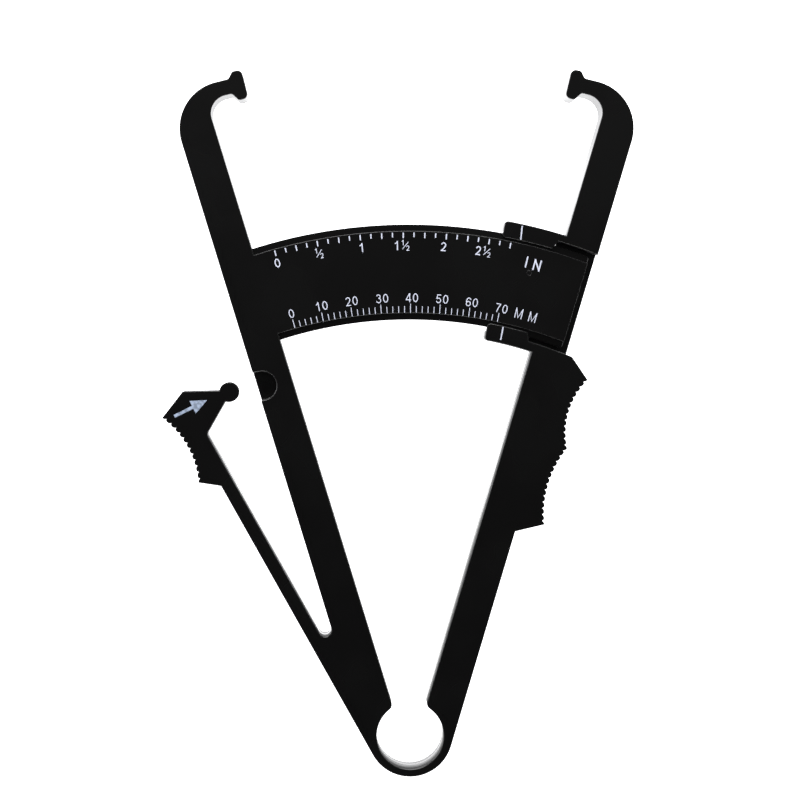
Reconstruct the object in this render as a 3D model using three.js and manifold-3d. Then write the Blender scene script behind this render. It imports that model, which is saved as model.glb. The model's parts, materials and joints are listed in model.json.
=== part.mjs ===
// Skinfold caliper: one flexible plastic moulding, lying on its back, jaws towards +Y.
// Two arms meet in an open C-shaped ring that springs them apart. The left arm carries a curved
// scale plate, which slides through a channel across the right arm, and a thumb lever on a thin leaf.
// Lengths are in millimetres, angles in degrees. Plan points are measured from the ring's turning
// centre, which is also the centre of the scale arcs, and angles turn clockwise from +Y.
import * as THREE from "three";
import { mergeVertices } from "three/addons/utils/BufferGeometryUtils.js";
import Module from "manifold-3d";

// moulding
const THICKNESS = 10;
const ARM_ANGLE = 16.8;
const ARM_INNER = 1.4;
const FOOT_FILLET = 1.4;

// ring that joins the arms, a little towards the right one; its bore is set lower than its rim, so that
// it is thinnest at the bottom
const RING_RADIUS = 9.45;
const RING_SHIFT = 0.17;
const RING_RISE = 1.12;
const RING_WALL = 2.05;
const BORE_DROP = 0.37;

// jaws: the contact faces stand a few degrees further in than the arms
const JAW_INSET = 3.0;
const JAW_RADIUS = 148.85;
const NECK_THICKNESS = 3.35;
const NECK_RISE = 0.2;
const HOOK_LENGTH = 11.4;
const HOOK_OUTER_FILLET = 10.45;
const HOOK_INNER_FILLET = 4.0;
const FACE_LENGTH = 6.5;
const FACE_END = 2.15;
const FACE_ROOT = 3.3;
const FACE_CORNER = 1.2;
const FACE_BACK_CORNER = 0.8;
const STEM_LENGTH = 0.5;
const STEM_FILLET = 0.8;

// scale plate and the channel that it slides in
const PLATE_INNER = 92.7;
const PLATE_OUTER = 113.7;
const PLATE_THICKNESS = 5;
const PLATE_INSET = 1.7;
const PLATE_CORNER = 0.7;
const RIM_WIDTH = 1.5;
const RIM_DEPTH = 1.5;
const INCH_CLEARANCE = 1.05;
const MILLIMETRE_CLEARANCE = 0.9;
const BRIDGE_CLEARANCE = 0.4;

// tabs whose lips hold the rims of the plate, spans counted in degrees back from the arm
const INCH_TAB_SPAN = 6.15;
const MILLIMETRE_TAB_SPAN = 5.97;
const INCH_TAB_BAR = 1.7;
const MILLIMETRE_TAB_BAR = 2.05;
const TAB_CORNER = 0.8;
const TAB_CLEARANCE = 0.8;
const LIP_STOP = 0.45;
const LIP_SLANT = 0.5;
const LIP_OVERLAP = 0.92;
const LIP_CLEARANCE = 0.3;

// leaf, and the slot that parts it from the left arm
const LEAF_ANGLE = 29.05;
const LEAF_THICKNESS = 2.87;
const LEAF_LENGTH = 38.95;
const SLOT_RADIUS = 1.46;

// thumb pad, along and across the leaf from the leaf's end
const PAD_EDGE = 5.4;
const PAD_FOOT = 3.1;
const PAD_SHOULDER = 19.4;
const PAD_TOP = [22.3, -1.45];
const PAD_TOP_CORNER = 0.5;
const PAD_ELBOW = 11.5;
const PAD_ELBOW_FILLET = 1;
const NECK_WIDTH = 2.75;
const THUMB_HOLLOW = 1.75;
const THUMB_RIBS = 12;

// round nose of the lever, placed like the pad, and the pocket that it swings into
const BALL_ALONG = 17.15;
const BALL_ACROSS = -10.25;
const BALL_RADIUS = 2.2;
const BALL_THICKNESS = 3.8;
const POCKET_CLEARANCE = 1.0;
const POCKET_FLOOR_CLEARANCE = 0.6;
const SEAT_ANGLE = 9.6;

// ribbed finger grip, counted down the right arm from the channel
const GRIP_REACH = 15.05;
const GRIP_SHOULDER = 1;
const GRIP_SHOULDER_FILLET = 0.9;
const GRIP_TOP_SLANT = 4;
const GRIP_BOTTOM_SLANT = 3.3;
const UPPER_SCALLOP = 15.8;
const LOWER_SCALLOP = 17.5;
const UPPER_HOLLOW = 1.95;
const LOWER_HOLLOW = 1.7;
const UPPER_RIBS = 12;
const LOWER_RIBS = 13;
const RIB_HEIGHT = 0.48;

// printed ink, the index lines counted in degrees back from the arm, each leaning off its ray
const INK = 0.1;
const INDEX_WIDTH = 0.28;
const INCH_INDEX_SPAN = 4.06;
const INCH_INDEX_LEAN = 6.5;
const MILLIMETRE_INDEX_SPAN = 3.755;
const MILLIMETRE_INDEX_LEAN = 1.9;
const LIP_MARGIN = 0.22;
const INCH_BAR_MARGIN = 0.42;
const MILLIMETRE_BAR_MARGIN = 0.75;
const ARROW_TAIL = [18.4, 2.82];
const ARROW_TIP = [18.0, -5.25];
const ARROW_SHAFT = 0.7;
const ARROW_HEAD_LENGTH = 3.6;
const ARROW_HEAD_WIDTH = 3.1;

// how far a facet may stray from its arc
const FACET_SAG = 0.006;
const POINTS_PER_RIB = 6;

// corners closer than this are one corner
const WELD = 1e-4;

// how far a cutting shape runs past what it cuts
const PAST = 1;
const PAST_DEGREES = 6;

const wasm = await Module();
wasm.setup();

const sin = (degrees) => Math.sin((degrees * Math.PI) / 180);
const cos = (degrees) => Math.cos((degrees * Math.PI) / 180);
const add = ([x, y], [dx, dy], times = 1) => [x + dx * times, y + dy * times];
const minus = ([x, y], [px, py]) => [x - px, y - py];
const dot = ([x, y], [px, py]) => x * px + y * py;
const unit = (v) => [v[0] / Math.hypot(...v), v[1] / Math.hypot(...v)];

// A plan frame: "along" leans by an angle from +Y and "across" points away from the middle line.
function frame(side, angle, origin = [0, 0]) {
  const along = [side * sin(angle), cos(angle)];
  const across = [side * cos(angle), -sin(angle)];
  return {
    along,
    across,
    at: (a, c) => add(add(origin, along, a), across, c),
    lineAt: (c) => [add(origin, across, c), along],
    crossLineAt: (a) => [add(origin, along, a), across],
  };
}

// The point where two lines, each a point and a direction, meet.
function meet([p, d], [q, e]) {
  const gap = minus(q, p);
  const turn = d[0] * e[1] - d[1] * e[0];
  return add(p, d, (gap[0] * e[1] - gap[1] * e[0]) / turn);
}

// The further of the two points where a line meets a circle.
function onCircle([p, d], centre, radius) {
  const to = minus(p, centre);
  const half = dot(to, d);
  return add(p, d, -half + Math.sqrt(half * half - dot(to, to) + radius * radius));
}

// Points on the shorter arc between two points at the same distance from a centre.
function arc(centre, from, to) {
  const a = minus(from, centre);
  const b = minus(to, centre);
  const radius = Math.hypot(...a);
  const turn = Math.atan2(a[0] * b[1] - a[1] * b[0], dot(a, b));
  const count = Math.ceil(Math.abs(turn) / (2 * Math.acos(1 - FACET_SAG / radius)));
  const start = Math.atan2(a[1], a[0]);
  const points = [];
  for (let i = 0; i <= count; i++) {
    const angle = start + (turn * i) / count;
    points.push(add(centre, [Math.cos(angle), Math.sin(angle)], radius));
  }
  return points;
}

// An outline whose corners [point, radius] are rounded; bare points stay as they are.
function rounded(corners) {
  const place = (i) => {
    const corner = corners[(i + corners.length) % corners.length];
    return Array.isArray(corner[0]) ? corner[0] : corner;
  };
  return corners.flatMap((corner, i) => {
    if (!Array.isArray(corner[0])) return [corner];
    const [here, radius] = corner;
    const before = unit(minus(place(i - 1), here));
    const after = unit(minus(place(i + 1), here));
    const half = Math.acos(dot(before, after)) / 2;
    const centre = add(here, unit(add(before, after)), radius / Math.sin(half));
    const reach = radius / Math.tan(half);
    return arc(centre, add(here, before, reach), add(here, after, reach));
  });
}

// A hollowed edge of round ribs, a crest at each corner, sunk towards the given side.
function ribs(from, to, hollow, count, inward) {
  const chord = minus(to, from);
  const points = [from];
  for (let i = 1; i < count * POINTS_PER_RIB; i++) {
    const t = i / (count * POINTS_PER_RIB);
    const crest = Math.sqrt(Math.abs(Math.cos(Math.PI * t * count)));
    const depth = hollow * 4 * t * (1 - t) + RIB_HEIGHT * (1 - crest);
    points.push(add(add(from, chord, t), inward, depth));
  }
  return [...points, to];
}

function slab(points, low, high) {
  const shape = new THREE.Shape(points.map(([x, y]) => new THREE.Vector2(x, y)));
  const geometry = new THREE.ExtrudeGeometry(shape, { depth: high - low, bevelEnabled: false });
  return geometry.translate(0, 0, low);
}

function solid(geometry) {
  const bare = geometry.clone();
  bare.deleteAttribute("normal");
  bare.deleteAttribute("uv");
  const merged = mergeVertices(bare, WELD);
  return new wasm.Manifold(
    new wasm.Mesh({
      numProp: 3,
      vertProperties: new Float32Array(merged.attributes.position.array),
      triVerts: new Uint32Array(merged.index.array),
    }),
  );
}

function without(geometry, ...tools) {
  let body = solid(geometry);
  for (const tool of tools) body = body.subtract(solid(tool));
  const mesh = body.getMesh();
  const result = new THREE.BufferGeometry();
  result.setAttribute("position", new THREE.BufferAttribute(mesh.vertProperties, 3));
  result.setIndex(new THREE.BufferAttribute(mesh.triVerts, 1));
  const faceted = result.toNonIndexed();
  faceted.computeVertexNormals();
  return faceted;
}

// Derived places.
const LEFT = -1;
const RIGHT = 1;
const turningCentre = [0, 0];
const ringCentre = [RING_SHIFT, RING_RISE];
const boreCentre = [RING_SHIFT, RING_RISE - BORE_DROP];
const boreRadius = RING_RADIUS - RING_WALL;
const armOuter = RING_RADIUS + RING_SHIFT * cos(ARM_ANGLE) - RING_RISE * sin(ARM_ANGLE);
const jawAngle = ARM_ANGLE - JAW_INSET;
const neckLow = JAW_RADIUS + NECK_RISE - NECK_THICKNESS / 2;
const neckHigh = JAW_RADIUS + NECK_RISE + NECK_THICKNESS / 2;
const jawStart = neckLow - HOOK_LENGTH;
const channelLow = PLATE_INNER - MILLIMETRE_CLEARANCE;
const channelHigh = PLATE_OUTER + INCH_CLEARANCE;
const plateBack = THICKNESS - PLATE_THICKNESS;
const bridgeFront = plateBack - BRIDGE_CLEARANCE;
const rimFloor = THICKNESS - RIM_DEPTH;
const lipBack = rimFloor + LIP_CLEARANCE;

const arm = { [LEFT]: frame(LEFT, ARM_ANGLE), [RIGHT]: frame(RIGHT, ARM_ANGLE) };
const leafSide = frame(LEFT, LEAF_ANGLE, ringCentre);
const slotCentre = meet(
  arm[LEFT].lineAt(armOuter + SLOT_RADIUS),
  leafSide.lineAt(RING_RADIUS - LEAF_THICKNESS - SLOT_RADIUS),
);
const leafRoot = add(slotCentre, leafSide.across, SLOT_RADIUS + LEAF_THICKNESS / 2);
const leaf = frame(LEFT, LEAF_ANGLE, leafRoot);
const slotTop = dot(slotCentre, arm[LEFT].along);

// The point at a distance from the turning centre on the line "across" an arm.
function armAtRadius(side, radius, across) {
  return arm[side].at(Math.sqrt(radius * radius - across * across), across);
}

// Arm foot: down the inner edge, round the tip and along the bore to the ring's cut.
function footAndBore(side, cut) {
  const tip = onCircle(
    arm[side].lineAt(ARM_INNER + FOOT_FILLET),
    boreCentre,
    boreRadius + FOOT_FILLET,
  );
  const onEdge = add(tip, arm[side].across, -FOOT_FILLET);
  const onBore = add(boreCentre, unit(minus(tip, boreCentre)), boreRadius);
  return [...arc(tip, onEdge, onBore), ...arc(boreCentre, onBore, cut).slice(1)];
}

// The ring is cut from each arm along the line through its centre, square to the outer edge.
const ringCut = {
  [LEFT]: onCircle([ringCentre, leaf.across], boreCentre, boreRadius),
  [RIGHT]: onCircle([ringCentre, arm[RIGHT].across], boreCentre, boreRadius),
};
const ringEdge = {
  [LEFT]: add(ringCentre, leaf.across, RING_RADIUS),
  [RIGHT]: add(ringCentre, arm[RIGHT].across, RING_RADIUS),
};
const ringBottom = add(ringCentre, [0, -1], RING_RADIUS);
const boreBottom = add(boreCentre, [0, -1], boreRadius);

const springRing = slab(
  [
    ...arc(ringCentre, ringEdge[LEFT], ringBottom),
    ...arc(ringCentre, ringBottom, ringEdge[RIGHT]).slice(1),
    ...arc(boreCentre, ringCut[RIGHT], boreBottom),
    ...arc(boreCentre, boreBottom, ringCut[LEFT]).slice(1),
  ],
  0,
  THICKNESS,
);

const leftRoot = slab(
  [
    ringEdge[LEFT],
    leaf.at(0, LEAF_THICKNESS / 2),
    ...arc(slotCentre, leaf.at(0, -LEAF_THICKNESS / 2), arm[LEFT].at(slotTop, armOuter)),
    arm[LEFT].at(slotTop, ARM_INNER),
    ...footAndBore(LEFT, ringCut[LEFT]),
  ],
  0,
  THICKNESS,
);

// Pressed at its end, the leaf turns the lever about a point a third of the way along the leaf.
const pad = frame(LEFT, LEAF_ANGLE, leaf.at(LEAF_LENGTH, 0));
const leverPivot = leaf.at(LEAF_LENGTH / 3, 0);

// Pocket: open to the arm's outer edge, round at the end, centred where the ball is seated.
const ballCentre = pad.at(BALL_ALONG, BALL_ACROSS);
function turned(point, pivot, clockwise) {
  const [x, y] = minus(point, pivot);
  return add(pivot, [x * cos(clockwise) + y * sin(clockwise), y * cos(clockwise) - x * sin(clockwise)]);
}
const seat = turned(ballCentre, leverPivot, SEAT_ANGLE);
const wayIn = unit(minus(ballCentre, seat));
const pocketSide = [-wayIn[1], wayIn[0]];
const pocketRadius = BALL_RADIUS + POCKET_CLEARANCE;
const pocketEnd = add(seat, wayIn, -pocketRadius);
const mouth = add(seat, wayIn, 2 * pocketRadius + PAST);
const pocketFloor = THICKNESS - BALL_THICKNESS - POCKET_FLOOR_CLEARANCE;
const pocket = slab(
  [
    ...arc(seat, add(seat, pocketSide, pocketRadius), pocketEnd),
    ...arc(seat, pocketEnd, add(seat, pocketSide, -pocketRadius)).slice(1),
    add(mouth, pocketSide, -pocketRadius),
    add(mouth, pocketSide, pocketRadius),
  ],
  pocketFloor,
  THICKNESS + PAST,
);
const leftArm = without(
  slab(
    [
      arm[LEFT].at(slotTop, ARM_INNER),
      arm[LEFT].at(slotTop, armOuter),
      arm[LEFT].at(jawStart, armOuter),
      arm[LEFT].at(jawStart, ARM_INNER),
    ],
    0,
    THICKNESS,
  ),
  pocket,
);

// Hooked end of an arm, up to the stem of its foot.
function jaw(side) {
  const face = frame(side, jawAngle);
  const stem = FACE_ROOT + STEM_LENGTH;
  return slab(
    rounded([
      arm[side].at(jawStart, armOuter),
      [meet(arm[side].lineAt(armOuter), face.crossLineAt(neckHigh)), HOOK_OUTER_FILLET],
      face.at(neckHigh, stem),
      face.at(neckLow, stem),
      [meet(arm[side].lineAt(ARM_INNER), face.crossLineAt(neckLow)), HOOK_INNER_FILLET],
      arm[side].at(jawStart, ARM_INNER),
    ]),
    0,
    THICKNESS,
  );
}

// T-shaped contact foot, thinner towards its two ends; its face lies on a line through the turning
// centre, so both faces meet flat.
function jawFoot(side) {
  const face = frame(side, jawAngle);
  const stem = FACE_ROOT + STEM_LENGTH;
  const low = JAW_RADIUS - FACE_LENGTH / 2;
  const high = JAW_RADIUS + FACE_LENGTH / 2;
  return slab(
    rounded([
      [face.at(high, 0), FACE_CORNER],
      [face.at(low, 0), FACE_CORNER],
      [face.at(low, FACE_END), FACE_BACK_CORNER],
      [face.at(neckLow, FACE_ROOT), STEM_FILLET],
      face.at(neckLow, stem),
      face.at(neckHigh, stem),
      [face.at(neckHigh, FACE_ROOT), STEM_FILLET],
      [face.at(high, FACE_END), FACE_BACK_CORNER],
    ]),
    0,
    THICKNESS,
  );
}

// Scale plate: an arc from the left arm's inner edge, with a step along both rims.
function plateEnd(radius) {
  return armAtRadius(RIGHT, radius, armOuter - PLATE_INSET);
}
function plateRoot(radius) {
  return armAtRadius(LEFT, radius, ARM_INNER);
}
const upperEdge = arc(turningCentre, plateRoot(PLATE_OUTER), plateEnd(PLATE_OUTER));
const lowerEdge = arc(turningCentre, plateEnd(PLATE_INNER), plateRoot(PLATE_INNER));
function rimCut(inner, outer) {
  const start = frame(LEFT, ARM_ANGLE + PAST_DEGREES);
  const end = frame(RIGHT, ARM_ANGLE + PAST_DEGREES);
  return slab(
    [
      ...arc(turningCentre, start.at(inner, 0), end.at(inner, 0)),
      ...arc(turningCentre, end.at(outer, 0), start.at(outer, 0)),
    ],
    rimFloor,
    THICKNESS + PAST,
  );
}
const scalePlate = without(
  slab(
    rounded([
      ...upperEdge.slice(0, -1),
      [upperEdge.at(-1), PLATE_CORNER],
      [lowerEdge[0], PLATE_CORNER],
      ...lowerEdge.slice(1),
    ]),
    plateBack,
    THICKNESS,
  ),
  rimCut(PLATE_OUTER - RIM_WIDTH, PLATE_OUTER + PAST),
  rimCut(PLATE_INNER - PAST, PLATE_INNER + RIM_WIDTH),
);

// Wall of the channel across the right arm, from its inner edge to its outer edge.
function channelWall(radius) {
  return arc(
    turningCentre,
    armAtRadius(RIGHT, radius, ARM_INNER),
    armAtRadius(RIGHT, radius, armOuter),
  );
}

// The bridge starts on the ray where the slanted ends of the lips stop.
const bridgeStart = frame(RIGHT, ARM_ANGLE - LIP_STOP + LIP_SLANT);
const channelBridge = slab(
  [
    bridgeStart.at(channelLow, 0),
    ...channelWall(channelLow),
    ...channelWall(channelHigh).reverse(),
    bridgeStart.at(channelHigh, 0),
  ],
  0,
  bridgeFront,
);

const rightArmLower = slab(
  [
    ringEdge[RIGHT],
    ...channelWall(channelLow).reverse(),
    ...footAndBore(RIGHT, ringCut[RIGHT]),
  ],
  0,
  THICKNESS,
);

const rightArmUpper = slab(
  [
    ...channelWall(channelHigh),
    arm[RIGHT].at(jawStart, armOuter),
    arm[RIGHT].at(jawStart, ARM_INNER),
  ],
  0,
  THICKNESS,
);

const gripTop = dot(armAtRadius(RIGHT, channelLow, armOuter), arm[RIGHT].along);
const gripHigh = gripTop - GRIP_TOP_SLANT;
const gripCusp = gripHigh - UPPER_SCALLOP;
const gripLow = gripCusp - LOWER_SCALLOP;
const gripInward = [-arm[RIGHT].across[0], -arm[RIGHT].across[1]];
const fingerGrip = slab(
  rounded([
    arm[RIGHT].at(gripLow - GRIP_BOTTOM_SLANT, armOuter),
    ...ribs(
      arm[RIGHT].at(gripLow, GRIP_REACH),
      arm[RIGHT].at(gripCusp, GRIP_REACH),
      LOWER_HOLLOW,
      LOWER_RIBS,
      gripInward,
    ),
    ...ribs(
      arm[RIGHT].at(gripCusp, GRIP_REACH),
      arm[RIGHT].at(gripHigh, GRIP_REACH),
      UPPER_HOLLOW,
      UPPER_RIBS,
      gripInward,
    ).slice(1),
    [armAtRadius(RIGHT, channelLow, armOuter + GRIP_SHOULDER), GRIP_SHOULDER_FILLET],
    arm[RIGHT].at(gripTop, armOuter),
  ]),
  0,
  THICKNESS,
);

// A tab on the right arm's inner edge: a full-depth bar beside the plate's edge, with a front lip over
// the plate's rim. "Step" is 1 where the tab lies outside the plate and -1 where it lies inside.
function tab(edge, wall, step, span, bar) {
  const start = frame(RIGHT, ARM_ANGLE - span);
  const lipEnd = frame(RIGHT, ARM_ANGLE - LIP_STOP);
  const lip = edge - step * LIP_OVERLAP;
  const far = wall + step * bar;
  const lipLine = arc(turningCentre, start.at(lip, 0), lipEnd.at(lip, 0));
  const farLine = arc(turningCentre, armAtRadius(RIGHT, far, ARM_INNER), start.at(far, 0));
  const clearBefore = frame(RIGHT, ARM_ANGLE - span - PAST_DEGREES);
  const clearAfter = frame(RIGHT, ARM_ANGLE + PAST_DEGREES);
  const clear = edge + step * TAB_CLEARANCE;
  const plateSide = lip - step * PAST;
  return without(
    slab(
      rounded([
        [lipLine[0], TAB_CORNER],
        ...lipLine.slice(1),
        bridgeStart.at(wall, 0),
        armAtRadius(RIGHT, wall, ARM_INNER),
        ...farLine.slice(0, -1),
        [farLine.at(-1), TAB_CORNER],
      ]),
      0,
      THICKNESS,
    ),
    slab(
      [
        ...arc(turningCentre, clearBefore.at(clear, 0), clearAfter.at(clear, 0)),
        ...arc(turningCentre, clearAfter.at(plateSide, 0), clearBefore.at(plateSide, 0)),
      ],
      -PAST,
      lipBack,
    ),
  );
}
const inchTab = tab(PLATE_OUTER, channelHigh, 1, INCH_TAB_SPAN, INCH_TAB_BAR);
const millimetreTab = tab(
  PLATE_INNER,
  channelLow,
  -1,
  MILLIMETRE_TAB_SPAN,
  MILLIMETRE_TAB_BAR,
);

const leverLeaf = slab(
  [
    leaf.at(0, -LEAF_THICKNESS / 2),
    leaf.at(LEAF_LENGTH, -LEAF_THICKNESS / 2),
    leaf.at(LEAF_LENGTH, LEAF_THICKNESS / 2),
    leaf.at(0, LEAF_THICKNESS / 2),
  ],
  0,
  THICKNESS,
);

// The nose is round, flattened where it joins the pad's neck.
const neckAcross = BALL_ACROSS + Math.sqrt(BALL_RADIUS ** 2 - (NECK_WIDTH / 2) ** 2);
const ballTip = pad.at(BALL_ALONG, BALL_ACROSS - BALL_RADIUS);
const indexBall = slab(
  [
    ...arc(ballCentre, pad.at(BALL_ALONG - NECK_WIDTH / 2, neckAcross), ballTip),
    ...arc(ballCentre, ballTip, pad.at(BALL_ALONG + NECK_WIDTH / 2, neckAcross)).slice(1),
  ],
  THICKNESS - BALL_THICKNESS,
  THICKNESS,
);

const thumbPad = slab(
  rounded([
    pad.at(0, -LEAF_THICKNESS / 2),
    [pad.at(PAD_ELBOW, -LEAF_THICKNESS / 2), PAD_ELBOW_FILLET],
    pad.at(BALL_ALONG - NECK_WIDTH / 2, neckAcross),
    pad.at(BALL_ALONG + NECK_WIDTH / 2, neckAcross),
    [pad.at(...PAD_TOP), PAD_TOP_CORNER],
    ...ribs(
      pad.at(PAD_SHOULDER, PAD_EDGE),
      pad.at(PAD_FOOT, PAD_EDGE),
      THUMB_HOLLOW,
      THUMB_RIBS,
      [-pad.across[0], -pad.across[1]],
    ),
    pad.at(0, LEAF_THICKNESS / 2),
  ]),
  0,
  THICKNESS,
);

function indexLine(span, lean, low, high) {
  const foot = frame(RIGHT, ARM_ANGLE - span).at(low, 0);
  const line = frame(RIGHT, ARM_ANGLE - span - lean, foot);
  const length = high - low;
  const half = INDEX_WIDTH / 2;
  return slab(
    [line.at(0, -half), line.at(length, -half), line.at(length, half), line.at(0, half)],
    THICKNESS,
    THICKNESS + INK,
  );
}
const inchIndexLine = indexLine(
  INCH_INDEX_SPAN,
  INCH_INDEX_LEAN,
  PLATE_OUTER - LIP_OVERLAP + LIP_MARGIN,
  channelHigh + INCH_TAB_BAR - INCH_BAR_MARGIN,
);
const millimetreIndexLine = indexLine(
  MILLIMETRE_INDEX_SPAN,
  MILLIMETRE_INDEX_LEAN,
  channelLow - MILLIMETRE_TAB_BAR + MILLIMETRE_BAR_MARGIN,
  PLATE_INNER + LIP_OVERLAP - LIP_MARGIN,
);

function arrow() {
  const tail = pad.at(...ARROW_TAIL);
  const tip = pad.at(...ARROW_TIP);
  const way = unit(minus(tip, tail));
  const side = [-way[1], way[0]];
  const neck = add(tip, way, -ARROW_HEAD_LENGTH);
  return slab(
    [
      add(tail, side, ARROW_SHAFT / 2),
      add(tail, side, -ARROW_SHAFT / 2),
      add(neck, side, -ARROW_SHAFT / 2),
      add(neck, side, -ARROW_HEAD_WIDTH / 2),
      tip,
      add(neck, side, ARROW_HEAD_WIDTH / 2),
      add(neck, side, ARROW_SHAFT / 2),
    ],
    THICKNESS,
    THICKNESS + INK,
  );
}

// Assembly: the left side stays still, the right arm turns on the ring and the lever on its leaf.
const BLACK = 0x141315;
const INK_WHITE = 0xc8cde1;
const INK_GREY = 0xa5b2cd;
const LOW_GLOSS = 0.32;
const INK_MATT = 0.6;

function piece(name, geometry, color = BLACK, roughness = LOW_GLOSS) {
  const material = new THREE.MeshStandardMaterial({ color, roughness, metalness: 0 });
  const mesh = new THREE.Mesh(geometry, material);
  mesh.name = name;
  return mesh;
}

function assembly(name, ...parts) {
  const group = new THREE.Group();
  group.name = name;
  group.add(...parts);
  return group;
}

const leftSide = assembly(
  "left_side",
  piece("left_root", leftRoot),
  piece("left_arm", leftArm),
  piece("left_jaw", jaw(LEFT)),
  piece("left_jaw_foot", jawFoot(LEFT)),
  piece("scale_plate", scalePlate),
  piece("spring_ring", springRing),
  piece("lever_leaf", leverLeaf),
);
const thumbLever = assembly(
  "thumb_lever",
  piece("thumb_pad", thumbPad),
  piece("index_ball", indexBall),
  piece("lever_arrow", arrow(), INK_GREY, INK_MATT),
);
const rightSide = assembly(
  "right_side",
  piece("right_arm_lower", rightArmLower),
  piece("finger_grip", fingerGrip),
  piece("channel_bridge", channelBridge),
  piece("right_arm_upper", rightArmUpper),
  piece("right_jaw", jaw(RIGHT)),
  piece("right_jaw_foot", jawFoot(RIGHT)),
  piece("inch_tab", inchTab),
  piece("millimetre_tab", millimetreTab),
  piece("inch_index_line", inchIndexLine, INK_WHITE, INK_MATT),
  piece("millimetre_index_line", millimetreIndexLine, INK_WHITE, INK_MATT),
);

// The part's frame starts at the middle of the underside of its bounding box.
const caliper = assembly("skinfold_caliper", leftSide, thumbLever, rightSide);
const box = new THREE.Box3().setFromObject(caliper, true);
const middle = box.getCenter(new THREE.Vector3());
caliper.position.set(-middle.x, -middle.y, -box.min.z);

export default caliper;
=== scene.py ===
"""Looks of a skinfold caliper: one black flexible moulding with printed scales, on a pale floor."""

import json
import math
from collections import Counter, defaultdict

import bmesh
import bpy
import numpy as np
from bpy.props import FloatProperty, FloatVectorProperty, IntProperty, PointerProperty
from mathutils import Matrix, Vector


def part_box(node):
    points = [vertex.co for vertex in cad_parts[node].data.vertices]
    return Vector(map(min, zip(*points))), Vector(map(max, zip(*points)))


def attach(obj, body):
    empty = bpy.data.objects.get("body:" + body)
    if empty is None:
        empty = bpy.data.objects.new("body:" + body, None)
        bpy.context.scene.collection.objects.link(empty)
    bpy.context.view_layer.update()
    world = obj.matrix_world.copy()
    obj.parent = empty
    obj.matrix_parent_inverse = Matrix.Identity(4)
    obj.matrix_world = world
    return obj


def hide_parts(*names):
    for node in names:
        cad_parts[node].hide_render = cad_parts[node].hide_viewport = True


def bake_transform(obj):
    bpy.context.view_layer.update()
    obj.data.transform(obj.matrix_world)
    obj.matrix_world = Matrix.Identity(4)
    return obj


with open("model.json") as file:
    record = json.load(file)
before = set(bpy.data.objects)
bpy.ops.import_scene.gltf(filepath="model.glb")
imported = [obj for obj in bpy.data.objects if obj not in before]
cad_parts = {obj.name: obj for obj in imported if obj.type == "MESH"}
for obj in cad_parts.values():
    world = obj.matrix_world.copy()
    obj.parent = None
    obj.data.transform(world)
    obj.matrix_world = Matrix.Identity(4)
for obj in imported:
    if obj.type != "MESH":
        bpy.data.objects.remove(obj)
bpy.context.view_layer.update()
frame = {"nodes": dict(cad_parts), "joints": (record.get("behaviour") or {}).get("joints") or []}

bl_info = {
    "name": "Skinfold caliper looks",
    "version": (1, 0, 0),
    "blender": (4, 5, 0),
    "location": "View3D > Sidebar > Caliper",
    "description": "Rounds a skinfold caliper's edges, prints its scales and sets the studio",
    "category": "Object",
}

MM = 0.001
JOINTS = {joint["name"]: joint for joint in frame["joints"]}
TURNING_CENTRE = Vector(JOINTS["jaw_closing"]["pos_m"][:2])
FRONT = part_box("left_root")[1].z

# nodes of the one moulding's three stiff parts; the spring ring and the lever's leaf join them
LEFT_NODES = ("left_root", "left_arm", "left_jaw", "left_jaw_foot", "scale_plate")
RIGHT_NODES = (
    "right_arm_lower",
    "finger_grip",
    "channel_bridge",
    "right_arm_upper",
    "right_jaw",
    "right_jaw_foot",
    "inch_tab",
    "millimetre_tab",
)
LEVER_NODES = ("thumb_pad", "index_ball")

# plan geometry: corners closer than the first are one corner, a face whose normal rises more than
# the second is level, levels are told apart by so many digits of a metre, and faces that turn less
# than the last are one face
WELD = 1e-6
LEVEL = 0.999
LEVEL_DIGITS = 7
SAME_PLANE = math.radians(0.05)

# edges sharper than the first are shaded sharp and than the second are rounded, and upright corners
# shorter than the third get the smaller radius
SHARP = math.radians(35)
ROUNDED = math.radians(45)
SHORT_CORNER = 3 * MM

# share of the shorter wall beside a corner that its rounding may take
ROOM_SHARE = 0.4

# how far the print and the pin mark sink into the plastic, and the drop from one stroke to the next
SUNK = 0.02 * MM
STROKE_DROP = 0.001 * MM

# strokes: lowest cosine at which a corner is still mitred, and degrees between a curve's points
BLUNTEST = 0.75
BOW_STEP = 15

# figures in shares of their height: width, gap, levels of strokes at the foot and at the top, and
# the size and stroke weight of the figures in a fraction
FIGURE_WIDTH = 0.62
FIGURE_GAP = 0.14
FIGURE_LOW = 0.07
FIGURE_HIGH = 0.93
FRACTION_SIZE = 0.58
FRACTION_WEIGHT = 0.62
OTHER_WIDTHS = {"I": 0.14, "N": 0.67, "M": 0.78, "½": 1.0}

# scales: angles in degrees clockwise from +Y about the turning centre, radii to the lines' ends,
# used in turn, so that every fifth millimetre line is longer
INCH_ZERO = -15.13
INCH_SWEEP = 26.86
INCH_LINES = 23
INCH_PITCH = INCH_SWEEP / (INCH_LINES - 1)
INCH_OUTER = 111.84 * MM
INCH_INNER = (110.64 * MM, 110.84 * MM)
MILLIMETRE_ZERO = -15.26
MILLIMETRE_SWEEP = 27.32
MILLIMETRE_LINES = 36
MILLIMETRE_PITCH = MILLIMETRE_SWEEP / (MILLIMETRE_LINES - 1)
MILLIMETRE_INNER = 94.28 * MM
MILLIMETRE_LONG = 96.23 * MM
MILLIMETRE_SHORT = 95.68 * MM
MILLIMETRE_OUTER = (MILLIMETRE_LONG,) + 4 * (MILLIMETRE_SHORT,)

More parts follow.
